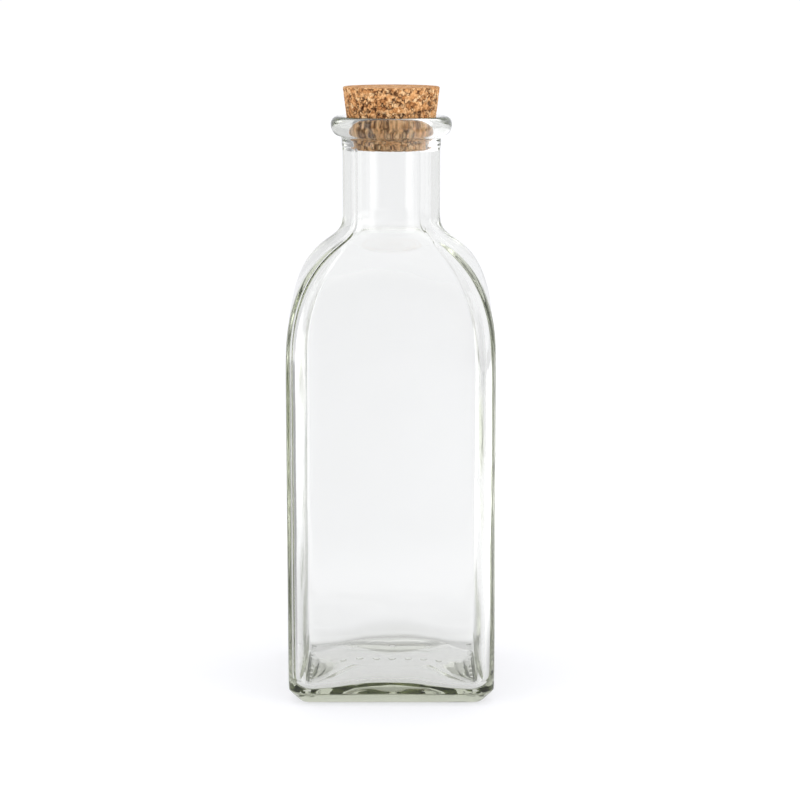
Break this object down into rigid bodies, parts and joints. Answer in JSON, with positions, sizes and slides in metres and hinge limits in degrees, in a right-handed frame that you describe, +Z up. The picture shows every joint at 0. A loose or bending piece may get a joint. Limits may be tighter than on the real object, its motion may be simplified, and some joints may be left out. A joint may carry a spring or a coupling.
{
  "type": "corked glass bottle",
  "caption": "Square clear glass bottle with rounded corners, a round neck with a bead lip, and a tapered cork stopper.",
  "frame": {"origin": "centre of the foot ring, on the surface that the bottle stands on", "axes": "+Z up the bottle's axis to the cork, X and Y square to its flat sides"},
  "size_m": [0.067, 0.067, 0.1966],
  "materials": {
    "glass": "clear polished soda-lime glass with a faint grey-green tint in its thick edges",
    "cork": "matt pressed cork granules, light tan to brown, with dark pits"
  },
  "bodies": {
    "root": {"glass_bottle": "glass", "cork_stopper": "cork"}
  },
  "joints": []
}
